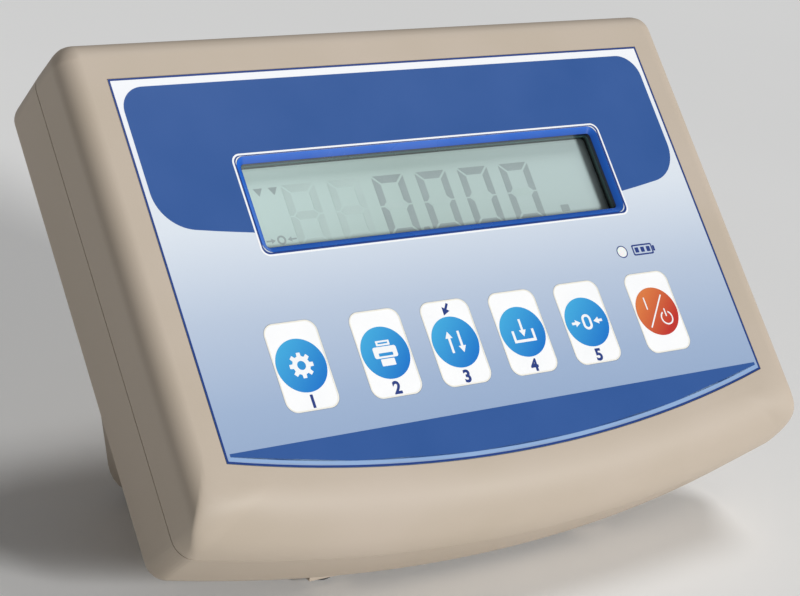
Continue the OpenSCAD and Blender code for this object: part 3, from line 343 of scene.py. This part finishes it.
NODE_FINISHES = {
    case_abs: ["front_housing", "rear_housing", "battery_door"],
    printed_polyester: ["front_overlay"],
    key_polyester: [key + "_key" for key in KEYS],
    bezel_abs: ["window_bezel"],
    lens_polycarbonate: ["window_lens"],
    polariser: ["lcd_glass"],
    opal_acrylic: ["lcd_backlight", "light_pipe"],
    black_pbt: ["microcontroller", "voltage_regulator", "buzzer", "switch_bodies", "supply_jack"],
    lacquered_laminate: ["main_board", "rear_board"],
    tinned_steel: ["lcd_contacts", "converter_shield", "crystal", "battery_terminals",
                   *[key + "_stem" for key in KEYS]],
    zinc_steel: ["board_screws", "case_screws", "door_screws"],
    nickel_plate: ["serial_connector", "load_cell_socket", "socket_nut", "jack_nut"],
    turned_brass: ["bracket_inserts", "serial_jackscrews"],
    anodised_aluminium: ["heat_sink"],
    shrink_sleeve: ["capacitors"],
    tinted_epoxy: ["charge_led"],
    battery_abs: ["battery"],
    cut_foam: ["battery_pad"],
    moulded_rubber: ["rubber_feet"],
    ribbon_pvc: ["board_link"],
}


# CAD nodes: finishes, and smooth shading between their real edges

def smooth_shading(limit_degrees):
    """Joins the split vertices of a CAD mesh and leaves it sharp only past an angle."""
    group = bpy.data.node_groups.new("smooth_between_edges", "GeometryNodeTree")
    group.interface.new_socket("Geometry", in_out="INPUT", socket_type="NodeSocketGeometry")
    group.interface.new_socket("Geometry", in_out="OUTPUT", socket_type="NodeSocketGeometry")
    source = add(group, "NodeGroupInput")
    joined = add(group, "GeometryNodeMergeByDistance", None,
                 {"Geometry": source.outputs[0], "Distance": 0.001 * MM})
    angle = add(group, "GeometryNodeInputMeshEdgeAngle")
    sharp = add(group, "FunctionNodeCompare", {"data_type": "FLOAT", "operation": "GREATER_THAN"},
                {"A": angle.outputs["Unsigned Angle"], "B": math.radians(limit_degrees)})
    faces = add(group, "GeometryNodeSetShadeSmooth", {"domain": "FACE"},
                {"Geometry": joined.outputs["Geometry"], "Shade Smooth": True})
    edges = add(group, "GeometryNodeSetShadeSmooth", {"domain": "EDGE"}, {
        "Geometry": faces.outputs["Geometry"], "Selection": sharp.outputs["Result"],
        "Shade Smooth": False,
    })
    add(group, "NodeGroupOutput", None, {0: edges.outputs["Geometry"]})
    return group


# Steepest angle in degrees that is still shaded smooth. The front moulding has rounds alone up to
# its recess and its seam, so it gets a wider one, which keeps its lower corners soft.
EDGE_LIMIT = 28
SOFT_EDGE_LIMIT = 70
shading = smooth_shading(EDGE_LIMIT)
soft_shading = smooth_shading(SOFT_EDGE_LIMIT)
for material, names in NODE_FINISHES.items():
    for name in names:
        node = frame["nodes"][name]
        for place in node.material_slots:
            place.material = material
        given_normals = node.data.attributes.get("custom_normal")
        if given_normals:
            node.data.attributes.remove(given_normals)
        soft = name == "front_housing"
        node.modifiers.new("smooth", "NODES").node_group = soft_shading if soft else shading
        node.modifiers.new("weighted", "WEIGHTED_NORMAL").keep_sharp = True


# Outlines on the panel

def arc(x, y, r, start, end, step=6.0):
    """Points along an arc, from one angle to another in degrees."""
    count = max(2, math.ceil(abs(end - start) / step))
    angles = [math.radians(start + (end - start) * i / count) for i in range(count + 1)]
    return [(x + r * math.cos(a), y + r * math.sin(a)) for a in angles]


def rounded(x, y, w, h, r):
    """A rectangle with round corners about a middle."""
    right, top = x + w / 2 - r, y + h / 2 - r
    left, low = x - w / 2 + r, y - h / 2 + r
    return (arc(right, top, r, 0, 90) + arc(left, top, r, 90, 180)
            + arc(left, low, r, 180, 270) + arc(right, low, r, 270, 360))


def circle(x, y, r):
    return arc(x, y, r, 0, 360)[:-1]


def band(x, y, r, width, start, end):
    """A stroke along an arc, with an open gap where the arc stops short of a turn."""
    return arc(x, y, r + width / 2, start, end) + arc(x, y, r - width / 2, end, start)


def stroke(start, end, width):
    """A straight stroke with round ends."""
    turn = math.degrees(math.atan2(end[1] - start[1], end[0] - start[0]))
    return (arc(*end, width / 2, turn - 90, turn + 90, 20)
            + arc(*start, width / 2, turn + 90, turn + 270, 20))


HEAD_SHARE = 0.6


def arrow(tail, tip, width, head):
    """A straight arrow in one outline: a thin shaft and a solid head."""
    start, end = Vector(tail), Vector(tip)
    run = (end - start).normalized()
    side = Vector((-run.y, run.x))
    neck = end - run * head
    thin, wide = side * width / 2, side * head * HEAD_SHARE
    return [[tuple(p) for p in (start - thin, neck - thin, neck - wide, end, neck + wide,
                                neck + thin, start + thin)]]


def film_outline(inset):
    """The film's outline moved in: straight top and sides and a bowed lower edge."""
    half = FILM_HALF - inset
    r = FILM_BOW_R - inset
    spread = math.degrees(math.asin(half / r))
    return [(half, -inset), (-half, -inset)] + arc(0, FILM_BOW_Y, r, 270 - spread, 270 + spread, 1)


def inlay(name, shapes, low, high, material, at=(0.0, 0.0), body="root"):
    """A thin piece on the panel between two heights over its face.

    Each shape is an outline, or an outline and its holes, in mm about the place at (x, y).
    """
    mesh = bmesh.new()
    for shape in shapes:
        loops = [shape] if isinstance(shape[0][0], (int, float)) else shape
        flat = [(x, y) for loop in loops for x, y in loop]
        lower = [mesh.verts.new((x * MM, y * MM, low * MM)) for x, y in flat]
        upper = [mesh.verts.new((x * MM, y * MM, high * MM)) for x, y in flat]
        for corners in tessellate_polygon([[Vector((x, y, 0)) for x, y in loop] for loop in loops]):
            mesh.faces.new([upper[i] for i in corners])
            mesh.faces.new([lower[i] for i in reversed(corners)])
        start = 0
        for loop in loops:
            for i in range(len(loop)):
                a, b = start + i, start + (i + 1) % len(loop)
                mesh.faces.new([lower[a], lower[b], upper[b], upper[a]])
            start += len(loop)
    bmesh.ops.recalc_face_normals(mesh, faces=mesh.faces)
    data = bpy.data.meshes.new(name)
    mesh.to_mesh(data)
    mesh.free()
    data.materials.append(material)
    piece = bpy.data.objects.new(name, data)
    scene.collection.objects.link(piece)
    piece.matrix_world = PANEL @ Matrix.Translation((at[0] * MM, at[1] * MM, 0))
    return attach(piece, body)


# Print on the film: each ink is a coat of its own thickness on the face
INK = 0.03
BORDER_W = 0.6
STRIPE_W = 1.3
FIELD_TOP = 3.0
FIELD_SIDE = 2.2
FIELD_TOP_R = 8.0
FIELD_LOW_R = 13.0
FIELD_BOW_R = 523.0
FIELD_BOW_Y = 465.9
FRAME_LEFT = -68.3
FRAME_RIGHT = 71.1
FRAME_TOP = 27.1
FRAME_LOW = 60.6
FRAME_R = 3.0
FRAME_LINE = 0.6
CRESCENT_TOP = 117.1
CRESCENT_HALF = 98.4

inlay("film_border", [[film_outline(0), film_outline(BORDER_W)]], 0, INK, line_ink)
stripe_spread = math.degrees(math.asin((FILM_HALF - BORDER_W) / FILM_BOW_R))
inlay("film_stripe", [band(0, FILM_BOW_Y, FILM_BOW_R - BORDER_W - STRIPE_W / 2, STRIPE_W,
                           270 - stripe_spread, 270 + stripe_spread)], 0, INK, stripe_ink)


def crescent():
    """The dark form between a straight top edge and the bowed stripe."""
    r = FILM_BOW_R - BORDER_W - STRIPE_W
    spread = math.degrees(math.asin(CRESCENT_HALF / r))
    return ([(CRESCENT_HALF, -CRESCENT_TOP), (-CRESCENT_HALF, -CRESCENT_TOP)]
            + arc(0, FILM_BOW_Y, r, 270 - spread, 270 + spread, 1))


inlay("film_crescent", [crescent()], 0, INK, field_ink)


def upper_field():
    """The dark field round the window: round corners, a bowed lower edge, a notch for the frame."""
    half = FILM_HALF - FIELD_SIDE
    corner_x = half - FIELD_LOW_R
    corner_y = FIELD_BOW_Y - math.sqrt((FIELD_BOW_R - FIELD_LOW_R) ** 2 - corner_x ** 2)
    turn = math.degrees(math.asin(corner_x / (FIELD_BOW_R - FIELD_LOW_R)))
    right_turn = math.degrees(math.asin(FRAME_RIGHT / FIELD_BOW_R))
    left_turn = math.degrees(math.asin(-FRAME_LEFT / FIELD_BOW_R))
    top_x, top_y = half - FIELD_TOP_R, -FIELD_TOP - FIELD_TOP_R
    notch_y = -FRAME_TOP - FRAME_R
    return (
        arc(0, FIELD_BOW_Y, FIELD_BOW_R, 270 + right_turn, 270 + turn, 1)
        + arc(corner_x, corner_y, FIELD_LOW_R, 270 + turn, 360)[1:]
        + arc(top_x, top_y, FIELD_TOP_R, 0, 90)
        + arc(-top_x, top_y, FIELD_TOP_R, 90, 180)
        + arc(-corner_x, corner_y, FIELD_LOW_R, 180, 270 - turn)
        + arc(0, FIELD_BOW_Y, FIELD_BOW_R, 270 - turn, 270 - left_turn, 1)[1:]
        + arc(FRAME_LEFT + FRAME_R, notch_y, FRAME_R, 180, 90)
        + arc(FRAME_RIGHT - FRAME_R, notch_y, FRAME_R, 90, 0)
    )


inlay("film_upper_field", [upper_field()], 0, INK, field_ink)


def window_frame(inset):
    """The outline round the window, moved in."""
    return rounded((FRAME_LEFT + FRAME_RIGHT) / 2, -(FRAME_TOP + FRAME_LOW) / 2,
                   FRAME_RIGHT - FRAME_LEFT - 2 * inset, FRAME_LOW - FRAME_TOP - 2 * inset,
                   FRAME_R - inset)


inlay("window_line", [[window_frame(0), window_frame(FRAME_LINE)]], 0, INK, white_ink)
inlay("window_surround", [[window_frame(FRAME_LINE),
                           rounded(WINDOW.x, WINDOW.y, BEZEL_W + BEZEL_GAP,
                                   BEZEL_H + BEZEL_GAP, BEZEL_R)]],
      0, INK, line_ink)


# Display: digits, decimal point and small marks on the front of the glass

DIGIT_W = 11.7
DIGIT_H = 20.7
DIGIT_STROKE = 2.6
DIGIT_GAP = 0.5
DIGIT_PITCH = 16.3
DIGIT_FIRST = -45.1
DIGIT_DROP = 46.3
POINT_SIZE = 2.2
POINT_R = 0.5
SEGMENT_T = 0.03
POLARISER_T = 0.02


def segments(x, lit):
    """The named segments of one digit, with mitred ends, about its middle."""
    w, h, s, g = DIGIT_W / 2, DIGIT_H / 2, DIGIT_STROKE, DIGIT_GAP
    top = [(-w + g, h), (w - g, h), (w - g - s, h - s), (-w + g + s, h - s)]
    side = [(-w, h - g), (-w, g / 2), (-w + s / 2, g / 2), (-w + s, s / 2 + g / 2),
            (-w + s, h - s - g)]
    bar = [(-w + s / 2 + g, 0), (-w + s + g, s / 2), (w - s - g, s / 2), (w - s / 2 - g, 0),
           (w - s - g, -s / 2), (-w + s + g, -s / 2)]
    flips = {"a": (top, 1, 1), "d": (top, 1, -1), "f": (side, 1, 1), "b": (side, -1, 1),
             "e": (side, 1, -1), "c": (side, -1, -1), "g": (bar, 1, 1)}
    return [[(x + fx * px, fy * py - DIGIT_DROP) for px, py in form]
            for form, fx, fy in (flips[name] for name in lit)]


glass_face = GLASS_HIGH.z + POLARISER_T
inlay("display_polariser", [rounded(WINDOW.x, WINDOW.y, GLASS_HIGH.x - GLASS_LOW.x, BEZEL_H, 0.5)],
      GLASS_HIGH.z, glass_face, polariser)
digit_x = [DIGIT_FIRST + i * DIGIT_PITCH for i in range(6)]
point_x = (digit_x[2] + digit_x[3]) / 2
lit_shapes = [form for x in digit_x[2:] for form in segments(x, "abcdef")]
lit_shapes.append(rounded(point_x, -DIGIT_DROP - DIGIT_H / 2 + POINT_SIZE / 2,
                          POINT_SIZE, POINT_SIZE, POINT_R))
inlay("display_digits", lit_shapes, glass_face, glass_face + SEGMENT_T, lit_segment)
off_shapes = [form for x in digit_x[:2] for form in segments(x, "abcdefg")]
off_shapes += [form for x in digit_x[2:] for form in segments(x, "g")]
inlay("display_off_segments", off_shapes, glass_face, glass_face + SEGMENT_T, off_segment)

MARK_LEFT = -56.5
MARK_TOP = 37.5
MARK_LOW = 53.5
marks = [[(x - 1.6, -MARK_TOP + 1.2), (x + 1.6, -MARK_TOP + 1.2), (x, -MARK_TOP - 1.4)][::-1]
         for x in (MARK_LEFT - 2.6, MARK_LEFT + 2.6)]
marks.append([circle(MARK_LEFT, -MARK_LOW, 1.5), circle(MARK_LEFT, -MARK_LOW, 0.9)])
marks += arrow((MARK_LEFT - 5.2, -MARK_LOW), (MARK_LEFT - 2.1, -MARK_LOW), 0.5, 1.4)
marks += arrow((MARK_LEFT + 5.2, -MARK_LOW), (MARK_LEFT + 2.1, -MARK_LOW), 0.5, 1.4)
marks.append(rounded(51.0, -MARK_LOW, 3.4, 2.4, 0.4))
inlay("display_marks", marks, glass_face, glass_face + SEGMENT_T, lit_segment)


# Keys: a cream edge, a tinted disc with a plain symbol, and a number under it

DISC_R = 8.3
DISC_RISE = 0.1
SYMBOL_LINE = 0.85
POWER_LINE = 0.5
RIM_W = 0.45
RIM_R = 3.7
RIM_INNER_R = 3.2
NUMBER_H = 3.9
CAP_SHARE = 0.72
NUMBER_BOLD = 0.2
NUMBER_FALL = 11.2


def gear():
    """Settings: a toothed wheel in one outline, with its hole."""
    tooth = [(-14, 2.9), (-9, 4.0), (9, 4.0), (14, 2.9)]
    places = [(math.radians(45 * i + turn), r) for i in range(8) for turn, r in tooth]
    return [[[(r * math.cos(a), r * math.sin(a)) for a, r in places], circle(0, 0, 1.4)]]


def printer():
    """Print: a printer with a sheet going in and out."""
    return [[rounded(0, 0.2, 8.2, 3.6, 0.7), rounded(0, -0.5, 5.0, 1.0, 0.2)],
            [rounded(0, 3.1, 4.8, 1.6, 0.2), rounded(0, 3.1, 3.4, 0.5, 0.1)],
            rounded(0, -3.0, 4.8, 2.2, 0.2)]


def exchange():
    """Gross and net: one arrow up and one down."""
    return (arrow((-1.9, -3.4), (-1.9, 3.6), SYMBOL_LINE, 2.2)
            + arrow((1.9, 3.4), (1.9, -3.6), SYMBOL_LINE, 2.2))


def container():
    """Tare: an open container with a load coming down on it."""
    tray = [(-4.2, 0.6), (-4.2, -3.4), (4.2, -3.4), (4.2, 0.6), (3.3, 0.6), (3.3, -2.5),
            (-3.3, -2.5), (-3.3, 0.6)]
    return [tray, *arrow((0, 4.2), (0, -1.6), SYMBOL_LINE, 2.2)]


def to_zero():
    """Zero: arrows from both sides to a ring."""
    return [[rounded(0, 0, 3.6, 5.2, 1.75), rounded(0, 0, 1.9, 3.5, 0.9)],
            *arrow((-6.0, 0), (-2.6, 0), SYMBOL_LINE, 2.0),
            *arrow((6.0, 0), (2.6, 0), SYMBOL_LINE, 2.0)]


def on_and_off():
    """Power: a bar for on, a broken ring with a bar for standby, and a line between them."""
    return [stroke((-3.6, 1.2), (-3.6, 5.0), POWER_LINE),
            stroke((3.6, 5.2), (-4.4, -5.0), POWER_LINE),
            band(3.0, -2.6, 2.2, POWER_LINE, 118, 422),
            stroke((3.0, -1.9), (3.0, 0.4), POWER_LINE)]


SYMBOLS = {"set": gear, "print": printer, "net": exchange, "tare": container, "zero": to_zero,
           "power": on_and_off}


def number(name, text, x, y, body):
    """A plain printed number about a place on the panel."""
    curve = bpy.data.curves.new(name, "FONT")
    curve.body = text
    curve.align_x = "CENTER"
    curve.align_y = "CENTER"
    curve.size = NUMBER_H * MM / CAP_SHARE
    curve.offset = NUMBER_BOLD * MM
    curve.extrude = INK * MM / 2
    curve.materials.append(legend_ink)
    piece = bpy.data.objects.new(name, curve)
    scene.collection.objects.link(piece)
    piece.matrix_world = PANEL @ Matrix.Translation((x * MM, y * MM, INK * MM / 2))
    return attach(piece, body)


for i, key in enumerate(KEYS):
    body = key + "_button"
    low, high = panel_span(key + "_key")
    x, y = middle(key + "_key")
    w, h = high.x - low.x, high.y - low.y
    inner = rounded(0, 0, w - 2 * RIM_W, h - 2 * RIM_W, RIM_INNER_R)
    inlay(key + "_rim", [[rounded(0, 0, w, h, RIM_R), inner]], 0, INK, cream_ink, (x, y), body)
    inlay(key + "_disc", [circle(0, 0, DISC_R)], 0, INK, power_ink if key == "power" else key_ink,
          (x, y + DISC_RISE), body)
    inlay(key + "_symbol", SYMBOLS[key](), INK, 2 * INK, white_ink, (x, y + DISC_RISE), body)
    if key != "power":
        number(key + "_number", str(i + 1), x, y - NUMBER_FALL, body)
inlay("net_pointer", arrow((1.6, 12.6), (-0.8, 8.9), 0.8, 2.4), 0, INK, legend_ink,
      middle("net_key"), "net_button")


# Charge lamp: a thin ring round the light pipe, and a plain cell sign beside it

LAMP_R = 1.8
RING_GAP = 0.1
RING_LINE = 0.25
CELL_X = 8.6
CELL_W = 8.4
CELL_H = 3.8
CELL_LINE = 0.5
inlay("lamp_ring", [[circle(0, 0, LAMP_R + RING_GAP + RING_LINE),
                    circle(0, 0, LAMP_R + RING_GAP)]], 0, INK, legend_ink, LAMP)
cell = [[rounded(0, 0, CELL_W, CELL_H, 0.6),
         rounded(0, 0, CELL_W - 2 * CELL_LINE, CELL_H - 2 * CELL_LINE, 0.3)],
        rounded(CELL_W / 2 + 0.5, 0, 0.8, CELL_H / 2, 0.2)]
cell += [rounded(-2.4 + 2.4 * i, 0, 1.5, CELL_H - 4 * CELL_LINE, 0.2) for i in range(3)]
inlay("charge_sign", cell, 0, INK, legend_ink, LAMP + Vector((CELL_X, 0)))


# Rear sockets: the dark insulators that show inside the metal shells

PIN_HOLE_R = 0.55
PIN_PITCH = 2.76
PIN_ROWS = 2.84
SERIAL_FACE_W = 15.4
SERIAL_FACE_H = 7.0
SERIAL_FACE_R = 1.6
INSULATOR_HALF = 0.1
serial_low, serial_high = panel_span("serial_connector")
serial_at = middle("serial_connector")
serial_holes = [circle((i - 2 + row / 2) * PIN_PITCH, (0.5 - row) * PIN_ROWS, PIN_HOLE_R)
                for row in (0, 1) for i in range(5 - row)]
serial_face = rounded(0, 0, SERIAL_FACE_W, SERIAL_FACE_H, SERIAL_FACE_R)
inlay("serial_insulator", [[serial_face, *serial_holes]], serial_low.z - INSULATOR_HALF,
      serial_low.z + INSULATOR_HALF, black_pbt, serial_at)
socket_low, socket_high = panel_span("load_cell_socket")
SOCKET_FACE = 1.0
SOCKET_RIM_R = 6.4
SOCKET_PINS = 6
SOCKET_PIN_RING = 3.5
SOCKET_PIN_R = 0.85
socket_holes = [circle(SOCKET_PIN_RING * math.cos(a), SOCKET_PIN_RING * math.sin(a), SOCKET_PIN_R)
                for a in (2 * math.pi * i / SOCKET_PINS for i in range(SOCKET_PINS))]
inlay("socket_insulator", [[circle(0, 0, SOCKET_RIM_R), *socket_holes]],
      socket_low.z + SOCKET_FACE - INSULATOR_HALF, socket_low.z + SOCKET_FACE + INSULATOR_HALF,
      black_pbt, middle("load_cell_socket"))


# Floor, light and camera

FLOOR_HALF = 4.0
floor_mesh = bpy.data.meshes.new("floor")
floor_mesh.from_pydata([(x * FLOOR_HALF, y * FLOOR_HALF, 0)
                        for x, y in ((-1, -1), (1, -1), (1, 1), (-1, 1))], [], [(0, 1, 2, 3)])
floor = bpy.data.objects.new("floor", floor_mesh)
scene.collection.objects.link(floor)
# Painted board: a pale, even white without gloss
floor_mesh.materials.append(finish("painted_board", ["#F9F9F8", "#FBFBFA"], [0.8, 0.9], 2.0, 0.01,
                                   300.0))

SKY_STRENGTH = 0.17
sky = bpy.data.worlds.new("studio")
scene.world = sky
sky.use_nodes = True
sky.node_tree.nodes["Background"].inputs["Color"].default_value = linear("#F4F5F7")
sky.node_tree.nodes["Background"].inputs["Strength"].default_value = SKY_STRENGTH


def soft_sun(name, towards, spread_degrees, strength):
    """A wide, distant studio light that shines from one direction."""
    lamp = bpy.data.lights.new(name, "SUN")
    lamp.angle = math.radians(spread_degrees)
    lamp.energy = strength * math.pi
    holder = bpy.data.objects.new(name, lamp)
    scene.collection.objects.link(holder)
    holder.rotation_euler = Vector(towards).to_track_quat("Z", "Y").to_euler()


soft_sun("front_light", (0.4, -0.82, 0.3), 14, 0.77)
soft_sun("top_light", (0.45, 0.1, 0.88), 25, 0.3)

# The photograph's camera, fitted in the panel's frame: its place in mm and its axes
VIEW_AT = Vector((-383.6, -257.3, 501.6))
VIEW_RIGHT = Vector((0.823, -0.312, 0.474))
VIEW_DOWN = Vector((-0.112, -0.908, -0.403))
FOCAL_PX = 2149.8
PHOTO_W = 800
SENSOR_W = 36.0
NEAREST_SEEN = 0.01
right = VIEW_RIGHT.normalized()
up = (-VIEW_DOWN + right * right.dot(VIEW_DOWN)).normalized()
back = right.cross(up)
turned = Matrix((right, up, back)).transposed().to_4x4()
view = bpy.data.cameras.new("camera")
view.sensor_width = SENSOR_W
view.lens = FOCAL_PX / PHOTO_W * SENSOR_W
view.clip_start = NEAREST_SEEN
camera = bpy.data.objects.new("camera", view)
scene.collection.objects.link(camera)
camera.matrix_world = PANEL @ Matrix.Translation(VIEW_AT * MM) @ turned
scene.camera = camera
scene.view_settings.view_transform = "Standard"
